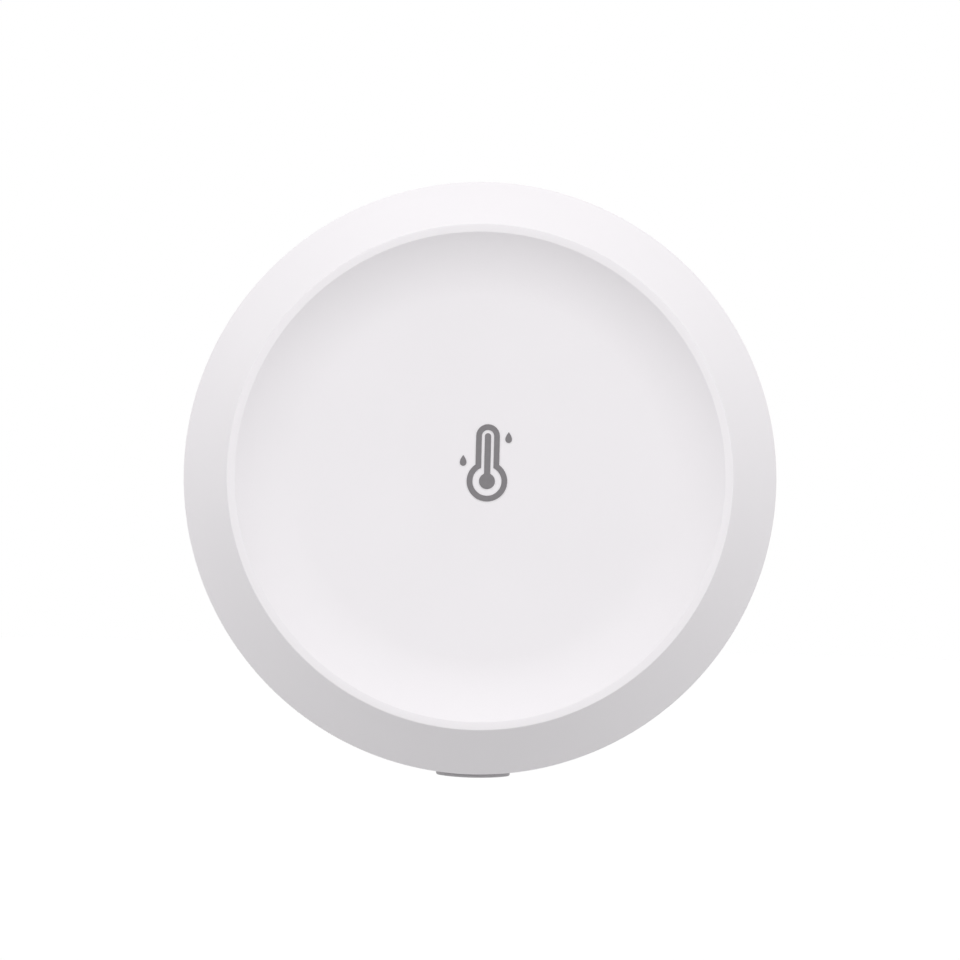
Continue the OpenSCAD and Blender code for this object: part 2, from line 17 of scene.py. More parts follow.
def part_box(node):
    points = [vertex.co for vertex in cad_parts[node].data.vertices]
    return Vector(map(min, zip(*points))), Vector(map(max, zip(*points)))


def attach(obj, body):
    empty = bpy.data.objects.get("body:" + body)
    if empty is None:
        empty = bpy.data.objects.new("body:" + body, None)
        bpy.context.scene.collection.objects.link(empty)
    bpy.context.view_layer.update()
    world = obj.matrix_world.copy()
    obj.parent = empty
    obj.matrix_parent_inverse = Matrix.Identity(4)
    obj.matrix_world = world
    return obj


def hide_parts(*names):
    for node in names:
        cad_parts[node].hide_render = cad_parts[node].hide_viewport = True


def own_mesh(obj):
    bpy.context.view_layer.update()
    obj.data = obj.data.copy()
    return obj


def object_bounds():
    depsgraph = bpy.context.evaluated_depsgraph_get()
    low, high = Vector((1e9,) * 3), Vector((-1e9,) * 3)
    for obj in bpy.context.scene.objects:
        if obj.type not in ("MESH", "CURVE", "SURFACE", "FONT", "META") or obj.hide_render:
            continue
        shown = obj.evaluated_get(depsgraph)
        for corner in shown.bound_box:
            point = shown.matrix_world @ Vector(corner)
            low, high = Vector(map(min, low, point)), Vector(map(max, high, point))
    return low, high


bl_info = {
    "name": "Temperature and humidity sensor",
    "version": (1, 0, 0),
    "blender": (4, 5, 0),
    "location": "3D View > Sidebar > Sensor",
    "description": "Builds a round stick-on sensor over its packed CAD parts",
    "category": "Object",
}

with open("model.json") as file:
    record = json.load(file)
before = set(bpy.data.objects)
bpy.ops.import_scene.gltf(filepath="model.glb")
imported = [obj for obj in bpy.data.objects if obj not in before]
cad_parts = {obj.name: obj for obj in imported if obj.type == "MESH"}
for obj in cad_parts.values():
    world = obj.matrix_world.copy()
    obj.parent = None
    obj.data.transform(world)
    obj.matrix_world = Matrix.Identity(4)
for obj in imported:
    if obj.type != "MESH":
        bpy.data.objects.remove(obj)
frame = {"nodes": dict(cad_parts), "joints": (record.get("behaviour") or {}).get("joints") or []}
cad_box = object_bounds()
joints = {joint["name"]: joint for joint in frame["joints"]}

MM = 0.001
AXIS = Vector((0, 1, 0))
FRONT = -AXIS
# A frame whose z runs to the front.
TO_FRONT = Matrix(((1, 0, 0), (0, 0, -1), (0, 1, 0))).to_4x4()
UP = math.radians(90)
DOWN = math.radians(270)
THIRD = math.tau / 3
# Vertices closer than this are merged.
MERGE = 0.001 * MM
# Edges past the first angle are rounded, and edges past the second are shaded sharp.
SHARP = math.radians(40)
CREASE = math.radians(30)
# Steps of a full turn, for the shell and for the smaller round pieces.
SHELL_STEPS = 256
ROUND_STEPS = 160
# Width of the camera's film in millimetres.
FILM_WIDTH = 36
WHITE = (1, 1, 1, 1)


def linear(code):
    """Turn an sRGB hex colour into linear RGBA."""
    parts = [int(code[i:i + 2], 16) / 255 for i in (1, 3, 5)]
    return [c / 12.92 if c <= 0.04045 else ((c + 0.055) / 1.055) ** 2.4 for c in parts] + [1]


def length(name, text, default):
    """A length property whose default is given in millimetres."""
    return FloatProperty(name=name, description=text, default=default * MM, precision=5,
                         subtype="DISTANCE", unit="LENGTH")


def turn(name, text, default):
    """An angle property whose default is given in degrees."""
    return FloatProperty(name=name, description=text, default=math.radians(default), subtype="ANGLE",
                         unit="ROTATION")


def number(name, text, default, **limits):
    """A number property that is never below zero."""
    return FloatProperty(name=name, description=text, default=default, min=0, **limits)


def tint(name, text, default):
    """A colour property whose default is an sRGB hex value."""
    return FloatVectorProperty(name=name, description=text, default=linear(default), size=4, min=0, max=1,
                               subtype="COLOR")


class ShellSizes(bpy.types.PropertyGroup):
    """Sizes of the white front shell."""

    body_r: length("Body radius", "Radius of the widest edge", 18)
    edge_level: length("Edge level", "Height of the widest edge above the wall", 7.1)
    edge_r: length("Edge rounding", "Radius that breaks the widest edge", 0.25)
    lip_r: length("Lip radius", "Outer radius of the flat lip", 15.24)
    lip_w: length("Lip width", "Width of the flat lip round the dish", 0.48)
    lip_level: length("Lip level", "Height of the lip above the wall", 11.5)
    lip_edge_r: length("Lip rounding", "Radius that breaks the lip's outer edge", 0.08)
    dish_depth: length("Dish depth", "Depth of the dish below the lip", 1.3)
    dish_curve_w: length("Dish curve", "Width of the dish's curved border", 3.76)
    face_t: length("Face thickness", "Thickness of the dished face", 1.3)
    wall_t: length("Wall thickness", "Thickness of the side and the bevel", 1.6)
    back_r: length("Back radius", "Outer radius at the back edge", 17.6)
    back_level: length("Back level", "Height of the back edge above the wall", 0.4)
    seat_r: length("Seat radius", "Radius of the seat that takes the back cover", 16.7)
    seat_level: length("Seat level", "Height of the seat above the wall", 1.8)
    post_d: length("Post diameter", "Diameter of a screw post", 2.9)
    post_bore_d: length("Post bore", "Diameter of the hole in a screw post", 1.64)
    post_level: length("Post level", "Height of a post's end above the wall", 2.85)
    shoulder_d: length("Shoulder diameter", "Diameter of the shoulder that the board rests on", 4.6)
    shoulder_level: length("Shoulder level", "Height of the shoulder above the wall", 6.9)
    post_at: length("Post distance", "Distance of a post from the sensor's axis", 14.05)
    vent_w: length("Vent width", "Width of a vent slot", 1)
    vent_l: length("Vent length", "Length of a vent slot", 3.2)
    vent_level: length("Vent level", "Height of a slot's middle above the wall", 4.45)
    vent_pitch: turn("Vent pitch", "Angle from slot to slot", 6.5)
    vent_offset: turn("Vent offset", "Angle from the button to the middle of each group of slots", 30)
    vent_count: IntProperty(name="Vent count", description="Slots in each group", default=5, min=1)
    light_at: length("Light distance", "Distance of the light's thinned spot below the axis", 9)
    light_d: length("Light spot", "Diameter of the thinned spot over the light", 2.6)
    light_t: length("Light skin", "Thickness of the face over the light", 0.6)


class FittingSizes(bpy.types.PropertyGroup):
    """Sizes of the button, the battery door, the marks on the back and the foam ring."""

    button_w: length("Button width", "Width of the button's cap", 4.5)
    button_h: length("Button height", "Height of the button's cap", 2)
    button_level: length("Button level", "Height of the button's middle above the wall", 4.8)
    button_r: length("Button reach", "Distance of the button's outer face from the axis", 18.22)
    button_edge_r: length("Button rounding", "Radius that breaks the button's rim", 0.12)
    button_gap: length("Button gap", "Gap round the button in the shell", 0.1)
    ear_w: length("Ear span", "Distance across the button's two ears", 6.1)
    ear_t: length("Ear thickness", "Thickness of the ears", 0.7)
    tip_r: length("Button tip", "Distance of the button's inner face from the axis", 15.363)
    door_r: length("Door radius", "Radius of the door's flange", 11.75)
    door_flange_t: length("Flange thickness", "Thickness of the door's flange", 0.75)
    door_t: length("Door thickness", "Thickness of the door", 1.4)
    door_edge_r: length("Door rounding", "Radius that breaks the door's edge", 0.15)
    skirt_r: length("Skirt radius", "Outer radius of the door's skirt", 10.9)
    skirt_t: length("Skirt thickness", "Thickness of the door's skirt", 0.7)
    skirt_level: length("Skirt level", "Height of the skirt's rim above the wall", 2.75)
    lug_r: length("Lug radius", "Outer radius of a lug", 11.5)
    lug_level: length("Lug level", "Height of a lug's underside above the wall", 2.05)
    lug_h: length("Lug height", "Height of a lug", 0.6)
    lug_span: turn("Lug span", "Angle that a lug spans", 18)
    lug_start: turn("Lug start", "Angle of the first lug's middle", 42.5)
    door_turn: turn("Door turn", "Angle that the door turns to open", joints["door_twist"]["range_deg"][1])
    slot_l: length("Slot length", "Length of the coin slot", 14)
    slot_w: length("Slot width", "Width of the coin slot", 1.8)
    slot_depth: length("Slot depth", "Depth of the coin slot", 0.7)
    slot_edge_r: length("Slot rounding", "Radius that breaks the coin slot's rim", 0.12)
    mark_depth: length("Mark depth", "Depth of the marks sunk in the door and the cover", 0.2)
    mark_w: length("Mark width", "Width of the arrow's line, and of a dot on the cover", 0.4)
    pointer_at: length("Pointer distance", "Distance of the door's pointer from its middle", 10.5)
    arrow_r: length("Arrow radius", "Radius of the arrow's curve on the door", 8)
    arrow_span: turn("Arrow span", "Angle that the arrow's curve spans", 56)
    dot_at: length("Dot distance", "Distance of the cover's dots from the axis", 12.2)
    soft_edge: length("Broken edge", "Width of the broken edges on the back cover", 0.08)
    foam_edge_r: length("Foam rounding", "Radius of the foam ring's outer edges", 0.12)


class BoardSizes(bpy.types.PropertyGroup):
    """Sizes of the details on the small parts of the circuit board."""

    tin_share: number("Tinned share", "Share of a part's length under tin at each end", 0.22, max=0.5,
                      subtype="FACTOR")
    tin_t: length("Tin thickness", "How far the tin stands proud of a part's body", 0.02)
    base_share: number("Base share", "Share of a lidded part's height that is its base", 0.4, max=1,
                       subtype="FACTOR")
    lid_inset: length("Lid inset", "Step from a part's base to its lid", 0.1)
    lid_edge_r: length("Lid rounding", "Radius that breaks the edges of lids and chips", 0.04)
    lands: IntProperty(name="Lands", description="Lands on each side of the radio chip", default=10, min=1)
    land_pitch: length("Land pitch", "Distance from land to land", 0.5)
    land_h: length("Land height", "Height of a land over the board", 0.2)
    dot_d: length("Dot diameter", "Diameter of the pin-one dot on the radio chip", 0.6)


class Colours(bpy.types.PropertyGroup):
    """Colours of the parts that show, and of the parts inside."""

    shell: tint("Shell", "White plastic of the front shell", "#ECE9EC")
    cover: tint("Cover", "White plastic of the back cover and the door", "#E6E4E6")
    button: tint("Button", "Grey plastic of the button", "#B2AFB2")
    ink: tint("Ink", "Grey ink of the printed symbol", "#7D7A7D")
    foam: tint("Foam", "Foam of the adhesive ring", "#58585B")
    mask: tint("Solder mask", "Coating of the circuit board", "#1B5A3A")
    laminate: tint("Laminate", "Bare edge of the circuit board", "#B9A26A")
    steel: tint("Steel", "Plated steel", "#C9C8C4")
    bronze: tint("Bronze", "Plated spring bronze", "#D3B26A")
    epoxy: tint("Epoxy", "Moulded body of the chips", "#1B1B1E")
    ceramic: tint("Ceramic", "Sintered body of the capacitors", "#A9865C")
    glaze: tint("Glazed ceramic", "Body of the chip antenna", "#B8CBD2")
    resin: tint("Resin", "Clear body of the light", "#F1EED2")
    gasket: tint("Gasket", "Plastic seal of the cell", "#3A3A3E")
    powder: tint("Powder", "Pressed electrode of the cell", "#2C2A2B")
    tin: tint("Tin", "Dipped ends of the small parts", "#D2D1CE")
    alumina: tint("Alumina", "Base of the crystals and of the light", "#E4E0D6")


class StageSettings(bpy.types.PropertyGroup):
    """Camera, light and floor."""

    distance: length("Camera distance", "Distance from the camera to the widest edge", 480)
    frame_w: length("Frame width", "Width that the image spans at the widest edge", 58.28)
    drop: length("Framing", "How far below the sensor's axis the camera aims", 0.12)
    elevation: turn("Elevation", "Height of the camera over the sensor, as an angle", -0.9)
    roll: turn("Roll", "Turn of the sensor in the image, clockwise", 1.4)
    floor_gap: length("Floor gap", "Gap between the sensor and the floor", 25)
    floor_paper: tint("Floor", "Colour of the floor's paper", "#BCBCBC")
    floor_lift: number("Floor lift", "How much whiter the camera sees the floor", 0.45)
    sky: number("Sky", "Strength of the soft light all round", 0.79)
    sky_ends: number("Sky ends", "Extra strength in front of the face and the back", 1.27)
    softbox: number("Softbox", "Power of the lamp overhead", 0.1, unit="POWER")
    softbox_d: length("Softbox size", "Diameter of the lamp overhead", 500)


def wire(tree, node, inputs):
    """Fill a node's inputs, each with a value, from a socket, or from another node's first output."""
    for key, value in inputs.items():
        if isinstance(value, bpy.types.Node):
            value = value.outputs[0]
        if isinstance(value, bpy.types.NodeSocket):
            tree.links.new(value, node.inputs[key])
        else:
            node.inputs[key].default_value = value
    return node


def add(tree, kind, inputs, **settings):
    """Add a node with its settings, and fill its inputs."""
    node = tree.nodes.new("ShaderNode" + kind)
    for key, value in settings.items():
        setattr(node, key, value)
    return wire(tree, node, inputs)


def new_material(name):
    """A new material with its node tree, its shader and the piece's own coordinates."""
    material = bpy.data.materials.new(name)
    material.use_nodes = True
    tree = material.node_tree
    place = add(tree, "TexCoord", {}).outputs["Object"]
    return material, tree, tree.nodes["Principled BSDF"], place


def per(size):
    """The texture scale that gives a pattern of this size in millimetres."""
    return 1 / (size * MM)


def toned(tree, colour, pattern, low, high, span=(0.3, 0.7)):
    """A colour that goes from one share of itself to another as a pattern goes through its span."""
    share = add(tree, "MapRange", {"Value": pattern, "From Min": span[0], "From Max": span[1], "To Min": low,
                                   "To Max": high})
    return add(tree, "VectorMath", {0: colour[:3], "Scale": share}, operation="SCALE")


def moulded_plastic(name, colour, roughness, grain=0.16, soft_edge=0.03):
    """Plastic from a steel mould.

    The mould's fine spark-eroded skin gives an even satin sheen, the pigment drifts by a hair over about
    9 mm, and no edge is perfectly sharp. The grain is about 0.05 mm on the real part, too fine to show,
    and is drawn at the size that is given.
    """
    material, tree, shader, place = new_material(name)
    skin = add(tree, "TexNoise", {"Vector": place, "Scale": per(grain), "Detail": 3.0, "Roughness": 0.6})
    drift = add(tree, "TexNoise", {"Vector": place, "Scale": per(9), "Detail": 2.0})
    tone = toned(tree, colour, drift, 0.985, 1.0)
    gloss = add(tree, "MapRange", {"Value": skin, "To Min": roughness - 0.05, "To Max": roughness + 0.05})
    edge = add(tree, "Bevel", {"Radius": soft_edge * MM}, samples=6)
    bump = add(tree, "Bump", {"Height": skin, "Strength": 0.12, "Distance": 0.02 * MM, "Normal": edge})
    wire(tree, shader, {"Base Color": tone, "Roughness": gloss, "IOR": 1.5, "Normal": bump})
    return material


def pad_printed_ink(name, colour):
    """Ink laid down by a soft printing pad: a dull thin film, thinner in spots of about 0.25 mm."""
    material, tree, shader, place = new_material(name)
    film = add(tree, "TexNoise", {"Vector": place, "Scale": per(0.25), "Detail": 4.0})
    tone = toned(tree, colour, film, 0.96, 1.04)
    bump = add(tree, "Bump", {"Height": film, "Strength": 0.1, "Distance": 0.01 * MM})
    wire(tree, shader, {"Base Color": tone, "Roughness": 0.62, "IOR": 1.48, "Normal": bump})
    return material


def cut_foam(name, colour):
    """Closed-cell foam tape: its die-cut side shows opened cells, and the glue leaves a faint shine.

    The cells are about 0.1 mm across, and are drawn at 0.22 mm so that they show.
    """
    material, tree, shader, place = new_material(name)
    cells = add(tree, "TexVoronoi", {"Vector": place, "Scale": per(0.22), "Randomness": 1.0}, feature="F1")
    tone = toned(tree, colour, cells, 0.72, 1.12, span=(0, 0.7))
    bump = add(tree, "Bump", {"Height": cells, "Strength": 0.5, "Distance": 0.06 * MM})
    wire(tree, shader, {"Base Color": tone, "Roughness": 0.7, "IOR": 1.45, "Coat Weight": 0.15,
                        "Coat Roughness": 0.3, "Normal": bump})
    return material


def masked_laminate(name, mask, bare):
    """Glass and epoxy laminate under a green mask, with a sawn edge.

    Copper under the mask shows as paler fields and runs, here 0.3 mm runs 0.75 mm apart in fields of about
    4 mm. The sawn edge shows the bare straw-coloured laminate, and the glass weave a 0.3 mm play of gloss.
    """
    run = 0.3
    pitch = 0.75
    material, tree, shader, place = new_material(name)
    fields = add(tree, "TexVoronoi", {"Vector": place, "Scale": per(4)}, feature="F1", distance="CHEBYCHEV")
    # Each field draws a number: its runs go one way up to 0.45 and the other way past it, and past 0.75
    # the field is solid copper.
    kind = add(tree, "SeparateXYZ", {0: fields.outputs["Color"]}).outputs["X"]
    turned = add(tree, "Math", {0: kind, 1: 0.45}, operation="GREATER_THAN")
    solid = add(tree, "Math", {0: kind, 1: 0.75}, operation="GREATER_THAN")
    across = add(tree, "SeparateXYZ", {0: place})
    runs = []
    for axis in "XZ":
        steps = add(tree, "Math", {0: across.outputs[axis], 1: per(pitch)}, operation="MULTIPLY")
        part = add(tree, "Math", {0: steps}, operation="FRACT")
        runs.append(add(tree, "Math", {0: part, 1: run / pitch}, operation="LESS_THAN"))
    either = add(tree, "Mix", {0: turned, 2: runs[0], 3: runs[1]})
    copper = add(tree, "Math", {0: either, 1: solid}, operation="MAXIMUM")
    pale = [c * 1.6 for c in mask[:3]] + [1]
    coated = add(tree, "Mix", {0: copper, 6: mask, 7: pale}, data_type="RGBA").outputs[2]
    facing = add(tree, "SeparateXYZ", {0: add(tree, "NewGeometry", {}).outputs["Normal"]}).outputs["Y"]
    flat = add(tree, "Math", {0: facing}, operation="ABSOLUTE")
    sawn = add(tree, "Math", {0: flat, 1: 0.5}, operation="LESS_THAN")
    base = add(tree, "Mix", {0: sawn, 6: coated, 7: bare}, data_type="RGBA").outputs[2]
    weave = add(tree, "TexNoise", {"Vector": place, "Scale": per(0.3), "Detail": 2.0})
    gloss = add(tree, "MapRange", {"Value": weave, "To Min": 0.25, "To Max": 0.45})
    bump = add(tree, "Bump", {"Height": copper, "Strength": 0.3, "Distance": 0.03 * MM})
    wire(tree, shader, {"Base Color": base, "Roughness": gloss, "IOR": 1.55, "Normal": bump})
    return material


def plated_metal(name, colour, roughness, streak=0.15):
    """Rolled sheet with a thin plating.

    Fine rolling streaks, 12 times as long as they are wide, vary the gloss, and the tone clouds a little
    over about 2.5 mm.
    """
    material, tree, shader, place = new_material(name)
    drawn = add(tree, "Mapping", {"Vector": place, "Scale": (1, 1, 0.08)})
    rolled = add(tree, "TexNoise", {"Vector": drawn, "Scale": per(streak), "Detail": 4.0})
    cloud = add(tree, "TexNoise", {"Vector": place, "Scale": per(2.5), "Detail": 2.0})
    tone = toned(tree, colour, cloud, 0.92, 1.04, span=(0, 1))
    gloss = add(tree, "MapRange", {"Value": rolled, "To Min": roughness - 0.08, "To Max": roughness + 0.1})
    bump = add(tree, "Bump", {"Height": rolled, "Strength": 0.15, "Distance": 0.01 * MM})
    wire(tree, shader, {"Base Color": tone, "Metallic": 1.0, "Roughness": gloss, "Normal": bump})
    return material


def pressed_body(name, colour, roughness, grain=0.15, ior=1.55):
    """A body pressed, sintered or cast from filled stock: fine specks in its colour and a gritty skin."""
    material, tree, shader, place = new_material(name)
    grit = add(tree, "TexNoise", {"Vector": place, "Scale": per(grain), "Detail": 5.0, "Roughness": 0.7})
    tone = toned(tree, colour, grit, 0.85, 1.12)
    gloss = add(tree, "MapRange", {"Value": grit, "To Min": roughness - 0.08, "To Max": roughness + 0.08})
    bump = add(tree, "Bump", {"Height": grit, "Strength": 0.25, "Distance": 0.02 * MM})
    wire(tree, shader, {"Base Color": tone, "Roughness": gloss, "IOR": ior, "Normal": bump})
    return material


def outwards(bm):
    """Turn every face of a closed bmesh outwards."""
    bmesh.ops.recalc_face_normals(bm, faces=bm.faces)


def round_corner(bm, vert, radius, segments):
    """Round the corner of a wire to a radius."""
    a, b = (edge.other_vert(vert).co - vert.co for edge in vert.link_edges)
    bmesh.ops.bevel(bm, geom=[vert], offset=radius / math.tan(a.angle(b) / 2), offset_type="OFFSET",
                    segments=segments, profile=0.5, affect="VERTICES", material=-1)


def round_edges(bm, edges, radius, segments, clamp=False):
    """Round some edges of a bmesh to a radius."""
    bmesh.ops.bevel(bm, geom=edges, offset=radius, offset_type="OFFSET", segments=segments, profile=0.5,
                    affect="EDGES", material=-1, clamp_overlap=clamp)


def break_edges(bm, radius):
    """Round every sharp edge of a bmesh."""
    bm.normal_update()
    round_edges(bm, [e for e in bm.edges if e.calc_face_angle(0) > SHARP], radius, 2, clamp=True)


def cut_across(bm, point, way):
    """Cut a bmesh with a plane through a point, and keep both sides."""
    bmesh.ops.bisect_plane(bm, geom=bm.verts[:] + bm.edges[:] + bm.faces[:], dist=1e-8, plane_co=point,
                           plane_no=way)


def profile(bm, corners, segments=5, before=()):
    """Lay a wire on from given vertices through (radius, level, rounding) corners, and round the corners."""
    verts = [bm.verts.new((radius, -level, 0)) for radius, level, _ in corners]
    wire_verts = [*before, *verts]
    for pair in zip(wire_verts, wire_verts[1:]):
        bm.edges.new(pair)
    for vert, (_, _, rounding) in zip(verts, corners):
        if rounding > 0:
            round_corner(bm, vert, rounding, segments)


def spin_round(bm, steps):
    """Spin all wires round the sensor's axis, and close the seam and the poles."""
    bmesh.ops.spin(bm, geom=bm.verts[:] + bm.edges[:], cent=(0, 0, 0), axis=AXIS, angle=math.tau, steps=steps,
                   use_merge=True)
    bmesh.ops.remove_doubles(bm, verts=bm.verts, dist=MERGE)
    outwards(bm)


def on_side(angle, radius, level):
    """A frame on the sensor's side: x runs along the rim, y to the front and z outwards."""
    out = Vector((math.cos(angle), 0, math.sin(angle)))
    rim = Vector((-math.sin(angle), 0, math.cos(angle)))
    place = Matrix((rim, FRONT, out)).transposed().to_4x4()
    place.translation = out * radius + FRONT * level
    return place


def on_face(angle, radius, level):
    """A frame at a point of the sensor's plan: z runs to the front."""
    return Matrix.Translation((radius * math.cos(angle), -level, radius * math.sin(angle))) @ TO_FRONT


def pill(bm, place, width, height, segments=48):
    """A pill-shaped face in a frame: a circle drawn apart along its longer side."""
    verts = bmesh.ops.create_circle(bm, cap_ends=True, segments=segments, radius=min(width, height) / 2,
                                    matrix=Matrix.Rotation(math.pi / segments, 4, "Z"))["verts"]
    along = 0 if width > height else 1
    for vert in verts:
        vert.co[along] += math.copysign(abs(width - height) / 2, vert.co[along])
    bmesh.ops.transform(bm, matrix=place, verts=verts)
    return verts[0].link_faces[0]


def extrude(bm, face, place, depth):
    """Extrude a face along a frame's z and return the new end face. A lone face stays as the other end."""
    lone = face.edges[0].is_boundary
    made = bmesh.ops.extrude_face_region(bm, geom=[face])["geom"]
    bmesh.ops.translate(bm, verts=[g for g in made if isinstance(g, bmesh.types.BMVert)],
                        vec=place.to_3x3() @ Vector((0, 0, depth)))
    if not lone:
        bmesh.ops.delete(bm, geom=[face], context="FACES_ONLY")
    return next(g for g in made if isinstance(g, bmesh.types.BMFace))


def sector(bm, inner, outer, low, high, begin, span, steps):
    """A rectangular section spun round the sensor's axis through a span, with its ends closed."""
    first = Matrix.Rotation(-begin, 3, AXIS)
    verts = [bm.verts.new(first @ Vector((radius, -level, 0)))
             for radius, level in ((inner, low), (outer, low), (outer, high), (inner, high))]
    edges = [bm.edges.new((verts[i - 1], verts[i])) for i in range(4)]
    bmesh.ops.spin(bm, geom=verts + edges, cent=(0, 0, 0), axis=AXIS, angle=-span, steps=steps)
    bmesh.ops.holes_fill(bm, edges=[e for e in bm.edges if e.is_boundary])
    outwards(bm)


def triangle(bm, place, radius, depth):
    """A prism on an even triangle that points along a frame's y."""
    verts = bmesh.ops.create_circle(bm, cap_ends=True, segments=3, radius=radius, matrix=place)["verts"]
    extrude(bm, verts[0].link_faces[0], place, depth)
    outwards(bm)


def block(bm, place, size):
    """A block of a size round the middle of a frame."""
    bmesh.ops.create_cube(bm, size=1, matrix=place @ Matrix.Diagonal((*size, 1)))


def merged(node):
    """A CAD node's loose triangles, copied into a bmesh and joined."""
    bm = bmesh.new()
    bm.from_mesh(frame["nodes"][node].data)
    bmesh.ops.remove_doubles(bm, verts=bm.verts, dist=MERGE)
    return bm


def bricks(node):
    """The lowest and the highest corner of each brick in a CAD node."""
    bm = merged(node)
    found = []
    for vert in bm.verts:
        if vert.tag:
            continue
        corners = [vert]
        for corner in corners:
            corner.tag = True
            corners += [e.other_vert(corner) for e in corner.link_edges if not e.other_vert(corner).tag]
        sides = list(zip(*(corner.co for corner in corners)))
        found.append((Vector(map(min, sides)), Vector(map(max, sides))))
    bm.free()
    return found


def brick(low, high):
    """A new bmesh with one brick between two corners."""
    bm = bmesh.new()
    block(bm, Matrix.Translation((low + high) / 2), high - low)
    return bm


def tinned_brick(low, high, share, step):
    """A brick whose two ends are dipped in tin, a step proud of its body."""
    bm = brick(low, high)
    break_edges(bm, 2 * step)
    size = high - low
    along = 0 if size.x > size.z else 2
    way = Vector((1, 0, 0) if along == 0 else (0, 0, 1))
    ends = low[along] + share * size[along], high[along] - share * size[along]
    for end in ends:
        cut_across(bm, way * end, way)
    body = [face for face in bm.faces if ends[0] < face.calc_center_median()[along] < ends[1]]
    for face in bm.faces:
        face.material_index = int(face not in body)
    bmesh.ops.inset_region(bm, faces=body, thickness=step, depth=-step, use_even_offset=True)
    return bm


def lidded_brick(low, high, share, inset, rounding):
    """A base with a narrower lid: the base takes a share of the height over the board."""
    tall = high.y - low.y
    bm = brick(Vector((low.x, high.y - share * tall, low.z)), high)
    bm.normal_update()
    top = max(bm.faces, key=lambda face: face.normal.dot(FRONT))
    bmesh.ops.inset_individual(bm, faces=[top], thickness=inset, use_even_offset=True)
    extrude(bm, top, TO_FRONT, (1 - share) * tall)
    just_above_base = high.y - 1.01 * share * tall
    for face in bm.faces:
        face.material_index = int(face.calc_center_median().y < just_above_base)
    outwards(bm)
    break_edges(bm, rounding)
    return bm


def gather(parts):
    """Put several bmeshes into one."""
    whole = bmesh.new()
    for part in parts:
        mesh = bpy.data.meshes.new("part")
        part.to_mesh(mesh)
        part.free()
        whole.from_mesh(mesh)
        bpy.data.meshes.remove(mesh)
    return whole


def made_object(name, bm):
    """Close a bmesh into a new object."""
    mesh = bpy.data.meshes.new(name)
    bm.to_mesh(mesh)
    bm.free()
    obj = bpy.data.objects.new(name, mesh)
    bpy.context.scene.collection.objects.link(obj)
    return obj


def apply_modifiers(obj):
    """Replace an object's mesh with what its modifiers make of it."""
    mesh = bpy.data.meshes.new_from_object(obj.evaluated_get(bpy.context.evaluated_depsgraph_get()))
    obj.modifiers.clear()
    obj.data = mesh


def join_or_cut(obj, bm, operation):
    """Unite an object with a bmesh, or cut the bmesh out of it."""
    tool = made_object("tool", bm)
    modifier = obj.modifiers.new(operation.title(), "BOOLEAN")
    modifier.operation = operation
    modifier.solver = "EXACT"
    modifier.object = tool
    apply_modifiers(obj)
    bpy.data.objects.remove(tool)


def smooth(obj):
    """Shade an object smooth, with its creases kept sharp and its broad faces kept true."""
    obj.data.shade_smooth()
    obj.data.set_sharp_from_angle(angle=CREASE)
    modifier = obj.modifiers.new("True faces", "WEIGHTED_NORMAL")
    modifier.keep_sharp = True
    modifier.weight = 100


def hand_over(obj, body, materials, node):
    """Finish a piece: shade it, give it its materials and its body, and hide the CAD node that it stands for.
    """
    smooth(obj)
    for material in materials:
        if material.name not in obj.data.materials:
            obj.data.materials.append(material)
    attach(obj, body)
    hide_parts(node)


def dress(material, *nodes):
    """Give CAD nodes a material."""
    for node in nodes:
        for slot in frame["nodes"][node].material_slots:
            slot.material = material


